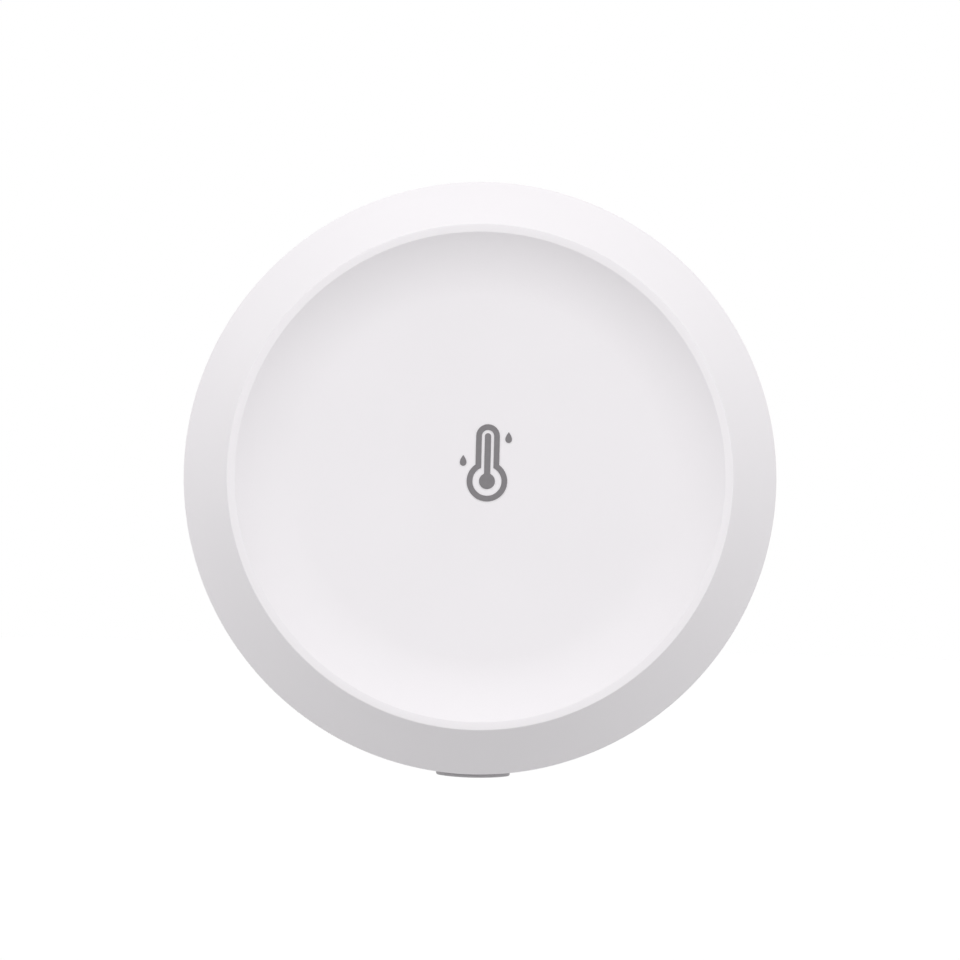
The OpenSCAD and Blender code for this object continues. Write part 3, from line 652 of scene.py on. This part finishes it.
class SENSOR_OT_shell(bpy.types.Operator):
    """Spin the front shell, add its screw posts, and cut its vents, button hole and light spot"""

    bl_idname = "sensor.shell"
    bl_label = "Front shell"

    def execute(self, context):
        size = context.scene.sensor_shell
        fit = context.scene.sensor_fittings
        ceiling = size.lip_level - size.dish_depth - size.face_t
        shell = made_object("shell", self.spun_wall(size, ceiling))
        join_or_cut(shell, self.posts(size, ceiling), "UNION")
        join_or_cut(shell, self.holes(size, fit, ceiling), "DIFFERENCE")
        colour = context.scene.sensor_colours.shell
        plastic = moulded_plastic("Moulded_white_ABS", colour, roughness=0.42, soft_edge=0.04)
        hand_over(shell, "housing", [plastic], "front_shell")
        return {"FINISHED"}

    def spun_wall(self, size, ceiling):
        """The shell without its posts and holes, from a wire over the dish, the side and the inner wall."""
        bm = bmesh.new()
        floor_level = size.lip_level - size.dish_depth
        dish_r = (size.dish_curve_w ** 2 + size.dish_depth ** 2) / (2 * size.dish_depth)
        dish_in = size.lip_r - size.lip_w - size.dish_curve_w
        cavity = size.body_r - size.wall_t
        bevel = Vector((size.body_r - size.lip_r, size.lip_level - size.edge_level))
        inner_edge = size.body_r - size.wall_t * bevel.length / bevel.y
        shoulder = size.edge_level + (inner_edge - cavity) * bevel.y / bevel.x
        inner_top = inner_edge - (ceiling - size.edge_level) * bevel.x / bevel.y
        curve_start = bm.verts.new((dish_in, -floor_level, 0))
        bmesh.ops.spin(bm, geom=[curve_start], cent=(dish_in, -floor_level - dish_r, 0), axis=(0, 0, 1),
                       angle=-math.asin(size.dish_curve_w / dish_r), steps=32)
        bm.verts.ensure_lookup_table()
        dish_rim = bm.verts[-1]
        profile(bm, [(0, floor_level, 0)], before=[curve_start])
        profile(bm, [
            (size.lip_r, size.lip_level, size.lip_edge_r), (size.body_r, size.edge_level, size.edge_r),
            (size.back_r, size.back_level, size.edge_r), (size.seat_r, size.back_level, size.lip_edge_r),
            (size.seat_r, size.seat_level, 0), (cavity, size.seat_level, 0), (cavity, shoulder, 0),
            (inner_top, ceiling, 0), (0, ceiling, 0),
        ], segments=6, before=[dish_rim])
        round_corner(bm, dish_rim, size.lip_edge_r / 2, segments=4)
        spin_round(bm, SHELL_STEPS)
        return bm

    def posts(self, size, ceiling):
        """Three stepped posts with their screw bores, rooted in the face."""
        bm = bmesh.new()
        root = 0.3 * size.face_t
        for i in range(3):
            place = on_face(UP + i * THIRD, size.post_at, ceiling + root)
            face = pill(bm, place, size.shoulder_d, size.shoulder_d)
            face = extrude(bm, face, place, size.shoulder_level - ceiling - root)
            post_h = size.shoulder_level - size.post_level
            for wide, narrow, depth in ((size.shoulder_d, size.post_d, -post_h),
                                        (size.post_d, size.post_bore_d, post_h)):
                bmesh.ops.inset_individual(bm, faces=[face], thickness=(wide - narrow) / 2,
                                           use_even_offset=True)
                face = extrude(bm, face, place, depth)
        outwards(bm)
        return bm

    def holes(self, size, fit, ceiling):
        """The vent slots, the button hole and the pocket behind the light spot, each a spare bit too long."""
        bm = bmesh.new()
        spare = 1 * MM
        gap = 2 * fit.button_gap
        cuts = [(DOWN, fit.button_level, fit.button_w + gap, fit.button_h + gap)]
        for side in (-1, 1):
            for i in range(size.vent_count):
                angle = DOWN + side * size.vent_offset + (i - (size.vent_count - 1) / 2) * size.vent_pitch
                cuts.append((angle, size.vent_level, size.vent_w, size.vent_l))
        for angle, level, width, height in cuts:
            place = on_side(angle, size.body_r - size.wall_t - spare, level)
            extrude(bm, pill(bm, place, width, height), place, size.wall_t + 2 * spare)
        place = on_face(DOWN, size.light_at, ceiling - spare)
        extrude(bm, pill(bm, place, size.light_d, size.light_d), place, spare + size.face_t - size.light_t)
        outwards(bm)
        return bm


class SENSOR_OT_button(bpy.types.Operator):
    """Make the grey push button, with its curved face, its rounded rim and its two ears"""

    bl_idname = "sensor.button"
    bl_label = "Push button"

    def execute(self, context):
        size = context.scene.sensor_fittings
        bm = bmesh.new()
        flat = Matrix.Identity(4)
        deep = size.button_r - size.tip_r
        extrude(bm, pill(bm, flat, size.button_w, size.button_h), flat, deep)
        outwards(bm)
        slices = 18
        for i in range(1, slices):
            cut_across(bm, ((i / slices - 0.5) * size.button_w, 0, 0), (1, 0, 0))
        crown = [v for v in bm.verts if v.co.z > deep / 2]
        for vert in crown:
            vert.co.z = math.sqrt(size.button_r ** 2 - vert.co.x ** 2) - size.tip_r
        bm.normal_update()
        rim = [e for e in bm.edges if e.verts[0] in crown and e.verts[1] in crown
               and e.calc_face_angle(0) > SHARP]
        round_edges(bm, rim, size.button_edge_r, segments=4)
        place = on_side(DOWN, size.tip_r, size.button_level)
        bmesh.ops.transform(bm, matrix=place, verts=bm.verts)
        cap = made_object("button_cap", bm)
        ears = bmesh.new()
        block(ears, place @ Matrix.Translation((0, 0, size.ear_t / 2)),
              (size.ear_w, size.button_h, size.ear_t))
        join_or_cut(cap, ears, "UNION")
        colour = context.scene.sensor_colours.button
        plastic = moulded_plastic("Moulded_grey_ABS", colour, roughness=0.48, grain=0.14)
        hand_over(cap, "button", [plastic], "side_button")
        return {"FINISHED"}


class SENSOR_OT_door(bpy.types.Operator):
    """Spin the battery door, sink its coin slot and its marks, and add its three bayonet lugs"""

    bl_idname = "sensor.door"
    bl_label = "Battery door"

    def execute(self, context):
        size = context.scene.sensor_fittings
        level = context.scene.sensor_shell.back_level
        door = made_object("door", self.slotted_disc(size, level))
        join_or_cut(door, self.lugs(size), "UNION")
        for mark in self.marks(size, level):
            join_or_cut(door, mark, "DIFFERENCE")
        colour = context.scene.sensor_colours.cover
        plastic = moulded_plastic("Moulded_white_ABS_door", colour, roughness=0.45)
        hand_over(door, "door", [plastic], "battery_door")
        return {"FINISHED"}

    def slotted_disc(self, size, level):
        """The flange and the skirt, open in a circle round the coin slot, which a bridge then closes."""
        bm = bmesh.new()
        circle_r = 0.62 * size.slot_l
        under_flange = level + size.door_flange_t
        inside = level + size.door_t
        skirt_in = size.skirt_r - size.skirt_t
        profile(bm, [
            (circle_r, level, 0), (size.door_r, level, size.door_edge_r), (size.door_r, under_flange, 0),
            (size.skirt_r, under_flange, 0), (size.skirt_r, size.skirt_level, size.soft_edge),
            (skirt_in, size.skirt_level, size.soft_edge), (skirt_in, inside, 0), (0, inside, 0),
        ])
        spin_round(bm, ROUND_STEPS)
        opening = [e for e in bm.edges if e.is_boundary]
        place = on_face(0, 0, level)
        lid = pill(bm, place, size.slot_l, size.slot_w, ROUND_STEPS)
        rim = lid.edges[:]
        sunk = [extrude(bm, lid, place, size.slot_depth)]
        sunk += [face for edge in rim for face in edge.link_faces if face is not lid]
        bmesh.ops.recalc_face_normals(bm, faces=sunk + [lid])
        bmesh.ops.delete(bm, geom=[lid], context="FACES_ONLY")
        bmesh.ops.reverse_faces(bm, faces=sunk)
        bmesh.ops.bridge_loops(bm, edges=opening + rim)
        outwards(bm)
        round_edges(bm, rim, size.slot_edge_r, segments=4)
        return bm

    def lugs(self, size):
        """Three bayonet lugs, rooted in the skirt."""
        bm = bmesh.new()
        root = 0.2 * size.skirt_t
        for i in range(3):
            sector(bm, size.skirt_r - root, size.lug_r, size.lug_level, size.lug_level + size.lug_h,
                   size.lug_start - size.lug_span / 2 + i * THIRD, size.lug_span, steps=10)
        return bm

    def marks(self, size, level):
        """The pointer at the rim, and the curve and the head of the arrow that shows the way to open."""
        pointer, curve, head = bmesh.new(), bmesh.new(), bmesh.new()
        low = level - size.mark_depth
        through = 2 * size.mark_depth
        pointer_r = 1.8 * size.mark_w
        head_r = 2 * size.mark_w
        triangle(pointer, on_face(UP, size.pointer_at, low), pointer_r, through)
        end = UP - size.arrow_span / 2
        sector(curve, size.arrow_r - size.mark_w / 2, size.arrow_r + size.mark_w / 2, low, low + through, end,
               size.arrow_span, steps=24)
        place = on_face(end, size.arrow_r, low) @ Matrix.Rotation(end + math.pi, 4, "Z")
        triangle(head, place, head_r, through)
        return pointer, curve, head


class SENSOR_OT_cover(bpy.types.Operator):
    """Copy the back cover from the CAD model, break its edges and sink its two dots"""

    bl_idname = "sensor.cover"
    bl_label = "Back cover"

    def execute(self, context):
        size = context.scene.sensor_fittings
        bm = merged("back_cover")
        flat = math.radians(0.5)
        bmesh.ops.dissolve_limit(bm, angle_limit=flat, verts=bm.verts, edges=bm.edges)
        cover = made_object("cover", bm)
        bevel = cover.modifiers.new("Broken edges", "BEVEL")
        bevel.width = size.soft_edge
        bevel.segments = 2
        bevel.limit_method = "ANGLE"
        bevel.angle_limit = SHARP
        apply_modifiers(cover)
        dots = bmesh.new()
        for angle in (UP, UP - size.door_turn):
            place = on_face(angle, size.dot_at, context.scene.sensor_shell.back_level - size.mark_depth)
            extrude(dots, pill(dots, place, size.mark_w, size.mark_w, 32), place, 2 * size.mark_depth)
        outwards(dots)
        join_or_cut(cover, dots, "DIFFERENCE")
        colour = context.scene.sensor_colours.cover
        plastic = moulded_plastic("Moulded_white_ABS_cover", colour, roughness=0.5)
        hand_over(cover, "housing", [plastic], "back_cover")
        return {"FINISHED"}


class SENSOR_OT_foam_ring(bpy.types.Operator):
    """Spin the foam tape ring, with its die-cut edges"""

    bl_idname = "sensor.foam_ring"
    bl_label = "Foam ring"

    def execute(self, context):
        size = context.scene.sensor_fittings
        low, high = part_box("adhesive_pad")
        outer, top = high.x, -low.y
        inner = min(math.hypot(v.co.x, v.co.z) for v in frame["nodes"]["adhesive_pad"].data.vertices)
        middle = top / 2
        waist = 0.04 * MM
        bm = bmesh.new()
        profile(bm, [(inner, middle, 0), (inner, 0, size.foam_edge_r), (outer, 0, size.foam_edge_r),
                     (outer - waist, middle, 0), (outer, top, 0), (inner, top, 0), (inner, middle, 0)])
        bmesh.ops.remove_doubles(bm, verts=bm.verts, dist=MERGE)
        spin_round(bm, ROUND_STEPS)
        ring = made_object("foam_ring", bm)
        tape = cut_foam("Die_cut_foam_tape", context.scene.sensor_colours.foam)
        hand_over(ring, "housing", [tape], "adhesive_pad")
        return {"FINISHED"}


class SENSOR_OT_board_parts(bpy.types.Operator):
    """Make the small parts on the circuit board: chips, crystals, light, capacitors and resistors"""

    bl_idname = "sensor.board_parts"
    bl_label = "Parts on the board"

    def execute(self, context):
        colours = context.scene.sensor_colours
        size = context.scene.sensor_board
        tin = plated_metal("Dipped_tin", colours.tin, roughness=0.35, streak=0.1)
        epoxy = pressed_body("Moulded_chip_epoxy", colours.epoxy, roughness=0.55, grain=0.12)
        ceramic = pressed_body("Sintered_capacitor_ceramic", colours.ceramic, roughness=0.4, ior=1.7)
        glaze = pressed_body("Glazed_antenna_ceramic", colours.glaze, roughness=0.25, grain=0.3, ior=1.7)
        base = pressed_body("Sintered_white_alumina", colours.alumina, roughness=0.5, ior=1.75)
        lid = plated_metal("Nickel_plated_lid", colours.steel, roughness=0.25)
        resin = pressed_body("Cast_clear_resin", colours.resin, roughness=0.15, grain=0.4, ior=1.52)
        for node, name, slot, body in (
                ("chip_capacitors", "capacitors", "capacitor_ceramic", ceramic),
                ("bulk_capacitor", "large_capacitor", "capacitor_ceramic", ceramic),
                ("chip_resistors", "resistors", "chip_epoxy", epoxy),
                ("power_inductor", "inductor", "chip_epoxy", epoxy),
                ("chip_antenna", "antenna", "antenna_ceramic", glaze)):
            made = made_object(name, gather(tinned_brick(low, high, size.tin_share, size.tin_t)
                                            for low, high in bricks(node)))
            hand_over(made, "housing", [body, tin], node)
        for node, name, slot, top in (("main_crystal", "main_can", "crystal_can", lid),
                                      ("clock_crystal", "clock_can", "crystal_can", lid),
                                      ("status_led", "light", "led_resin", resin)):
            low, high = bricks(node)[0]
            made = made_object(name, lidded_brick(low, high, size.base_share, size.lid_inset,
                                                  size.lid_edge_r))
            hand_over(made, "housing", [base, top], node)
        self.radio(size, epoxy, tin)
        return {"FINISHED"}

    def radio(self, size, epoxy, tin):
        """The radio chip: a moulded body with a pin-one dot, and tinned lands along its four sides."""
        low, high = bricks("radio_chip")[0]
        proud = Vector((size.tin_t, 0, size.tin_t))
        bm = brick(low + proud, high - proud)
        break_edges(bm, size.lid_edge_r)
        chip = made_object("radio_package", bm)
        for material in (epoxy, tin):
            chip.data.materials.append(material)
        dot = bmesh.new()
        inset = 1.5 * size.dot_d
        sunk = 2 * size.tin_t
        place = Matrix.Translation((low.x + inset, low.y + sunk, high.z - inset)) @ TO_FRONT
        extrude(dot, pill(dot, place, size.dot_d, size.dot_d, 32), place, size.dot_d)
        outwards(dot)
        join_or_cut(chip, dot, "DIFFERENCE")
        lands = bmesh.new()
        middle = Matrix.Translation(((low.x + high.x) / 2, high.y, (low.z + high.z) / 2))
        reach = (high.x - low.x) / 2
        for side in range(4):
            foot = middle @ Matrix.Rotation(math.radians(90 * side), 4, AXIS)
            for i in range(size.lands):
                at = (i - (size.lands - 1) / 2) * size.land_pitch, -size.land_h / 2, reach - size.land_h / 2
                block(lands, foot @ Matrix.Translation(at), (size.land_pitch / 2, size.land_h, size.land_h))
        for face in lands.faces:
            face.material_index = 1
        join_or_cut(chip, lands, "UNION")
        hand_over(chip, "housing", [epoxy, tin], "radio_chip")


class SENSOR_OT_snap_dome(bpy.types.Operator):
    """Copy the switch's snap dome from the CAD model, and give it a mesh of its own"""

    bl_idname = "sensor.snap_dome"
    bl_label = "Snap dome"

    def execute(self, context):
        dome = made_object("snap_dome", merged("switch_dome"))
        colour = context.scene.sensor_colours.steel
        steel = plated_metal("Stamped_spring_steel", colour, roughness=0.2, streak=0.1)
        hand_over(dome, "housing", [steel], "switch_dome")
        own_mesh(dome)
        return {"FINISHED"}


class SENSOR_OT_inside(bpy.types.Operator):
    """Give the symbol and the other CAD parts their finishes"""

    bl_idname = "sensor.inside"
    bl_label = "Symbol and inner parts"

    def execute(self, context):
        colours = context.scene.sensor_colours
        dress(pad_printed_ink("Pad_printed_grey_ink", colours.ink), "icon_print")
        dress(masked_laminate("Masked_glass_laminate", colours.mask, colours.laminate), "circuit_board")
        dress(plated_metal("Zinc_plated_steel", colours.steel, roughness=0.35, streak=0.2), "cover_screws")
        dress(plated_metal("Nickel_plated_steel", colours.steel, roughness=0.25),
              "cell_can", "cell_cap", "positive_contact", "switch_cover")
        dress(plated_metal("Plated_spring_bronze", colours.bronze, roughness=0.28), "negative_contact")
        dress(pressed_body("Pressed_electrode_powder", colours.powder, roughness=0.8, grain=0.2, ior=1.5),
              "cell_core")
        dress(moulded_plastic("Moulded_polypropylene", colours.gasket, roughness=0.4, grain=0.2,
                              soft_edge=0.02), "cell_gasket")
        dress(pressed_body("Moulded_sensor_epoxy", colours.epoxy, roughness=0.5, grain=0.12), "humidity_chip")
        dress(moulded_plastic("Moulded_black_nylon", colours.gasket, roughness=0.5, grain=0.12,
                              soft_edge=0.02), "switch_body", "switch_plunger")
        return {"FINISHED"}


class SENSOR_OT_stage(bpy.types.Operator):
    """Lay the floor, light the sensor and set the camera at the photograph's angle"""

    bl_idname = "sensor.stage"
    bl_label = "Stage"

    def execute(self, context):
        scene = context.scene
        scene.view_settings.view_transform = "Standard"
        self.lay_floor(scene.sensor_stage)
        self.light(scene, scene.sensor_stage)
        self.set_camera(scene, scene.sensor_stage)
        return {"FINISHED"}

    def seen(self, tree):
        """1 where the camera, a mirror or a lens looks, and 0 where only light is gathered."""
        path = add(tree, "LightPath", {})
        first = add(tree, "Math", {0: path.outputs["Is Camera Ray"], 1: path.outputs["Is Glossy Ray"]},
                    operation="MAXIMUM")
        return add(tree, "Math", {0: first, 1: path.outputs["Is Transmission Ray"]}, operation="MAXIMUM")

    def lay_floor(self, stage):
        """A wide pale floor that keeps the sensor's shadow, and is clear when seen from below."""
        bm = bmesh.new()
        low = cad_box[0]
        bmesh.ops.create_circle(bm, cap_ends=True, segments=64, radius=6,
                                matrix=Matrix.Translation((0, 0, low[2] - stage.floor_gap)))
        floor = made_object("floor", bm)
        material = bpy.data.materials.new("Matt_white_paper")
        material.use_nodes = True
        tree = material.node_tree
        tree.nodes.clear()
        paper = add(tree, "BsdfDiffuse", {"Color": stage.floor_paper})
        lift = add(tree, "Math", {0: self.seen(tree), 1: stage.floor_lift}, operation="MULTIPLY")
        glow = add(tree, "Emission", {"Color": WHITE, "Strength": lift})
        top = add(tree, "AddShader", {0: paper, 1: glow})
        clear = add(tree, "BsdfTransparent", {})
        back = add(tree, "NewGeometry", {}).outputs["Backfacing"]
        mixed = add(tree, "MixShader", {0: back, 1: top, 2: clear})
        add(tree, "OutputMaterial", {"Surface": mixed})
        floor.data.materials.append(material)

    def light(self, scene, stage):
        """A soft sky that is stronger in front of the face and of the back, and one softbox overhead."""
        world = bpy.data.worlds.new("Studio")
        scene.world = world
        world.use_nodes = True
        tree = world.node_tree
        tree.nodes.clear()
        way = add(tree, "TexCoord", {}).outputs["Generated"]
        along = add(tree, "VectorMath", {0: way, 1: AXIS}, operation="DOT_PRODUCT").outputs["Value"]
        square = add(tree, "Math", {0: along, 1: along}, operation="MULTIPLY")
        strength = add(tree, "Math", {0: square, 1: stage.sky_ends, 2: stage.sky}, operation="MULTIPLY_ADD")
        sky = add(tree, "Background", {"Color": WHITE, "Strength": strength})
        white = add(tree, "Background", {"Color": WHITE, "Strength": 1.0})
        mixed = add(tree, "MixShader", {0: self.seen(tree), 1: sky, 2: white})
        add(tree, "OutputWorld", {"Surface": mixed})
        lamp = bpy.data.lights.new("Softbox", "AREA")
        lamp.shape = "DISK"
        lamp.size = stage.softbox_d
        lamp.energy = stage.softbox
        box = bpy.data.objects.new("Softbox", lamp)
        box.location = (0, -0.3, 0.6)
        box.rotation_euler = (-box.location).to_track_quat("-Z", "Y").to_euler()
        scene.collection.objects.link(box)

    def set_camera(self, scene, stage):
        """A long lens nearly square to the face, framed and rolled as in the photograph."""
        lens = bpy.data.cameras.new("Camera")
        lens.sensor_width = FILM_WIDTH
        lens.lens = FILM_WIDTH * stage.distance / stage.frame_w
        camera = bpy.data.objects.new("Camera", lens)
        edge = Vector((0, -scene.sensor_shell.edge_level, 0))
        away = Vector((0, -math.cos(stage.elevation), math.sin(stage.elevation)))
        turned = (-away).to_track_quat("-Z", "Y").to_matrix().to_4x4()
        camera.matrix_world = (Matrix.Translation(edge + away * stage.distance) @ turned
                               @ Matrix.Translation((0, -stage.drop, 0))
                               @ Matrix.Rotation(stage.roll, 4, "Z"))
        scene.collection.objects.link(camera)
        scene.camera = camera


class SENSOR_PT_panel(bpy.types.Panel):
    """Lists the steps that build and stage the sensor, and their sizes and colours"""

    bl_idname = "SENSOR_PT_panel"
    bl_label = "Sensor"
    bl_space_type = "VIEW_3D"
    bl_region_type = "UI"
    bl_category = "Sensor"

    def draw(self, context):
        for step in STEPS:
            self.layout.operator(step.bl_idname)
        for name, group in GROUPS.items():
            for setting in group.__annotations__:
                self.layout.prop(getattr(context.scene, name), setting)


STEPS = (SENSOR_OT_shell, SENSOR_OT_button, SENSOR_OT_door, SENSOR_OT_cover, SENSOR_OT_foam_ring,
         SENSOR_OT_board_parts, SENSOR_OT_snap_dome, SENSOR_OT_inside, SENSOR_OT_stage)
GROUPS = {"sensor_shell": ShellSizes, "sensor_fittings": FittingSizes, "sensor_board": BoardSizes,
          "sensor_colours": Colours, "sensor_stage": StageSettings}
CLASSES = (*GROUPS.values(), *STEPS, SENSOR_PT_panel)


def register():
    for cls in CLASSES:
        bpy.utils.register_class(cls)
    for name, group in GROUPS.items():
        setattr(bpy.types.Scene, name, PointerProperty(type=group))


def unregister():
    for name in GROUPS:
        delattr(bpy.types.Scene, name)
    for cls in reversed(CLASSES):
        bpy.utils.unregister_class(cls)


def main():
    register()
    bpy.ops.sensor.shell()
    bpy.ops.sensor.button()
    bpy.ops.sensor.door()
    bpy.ops.sensor.cover()
    bpy.ops.sensor.foam_ring()
    bpy.ops.sensor.board_parts()
    bpy.ops.sensor.snap_dome()
    bpy.ops.sensor.inside()
    bpy.ops.sensor.stage()


if __name__ == "__main__":
    main()
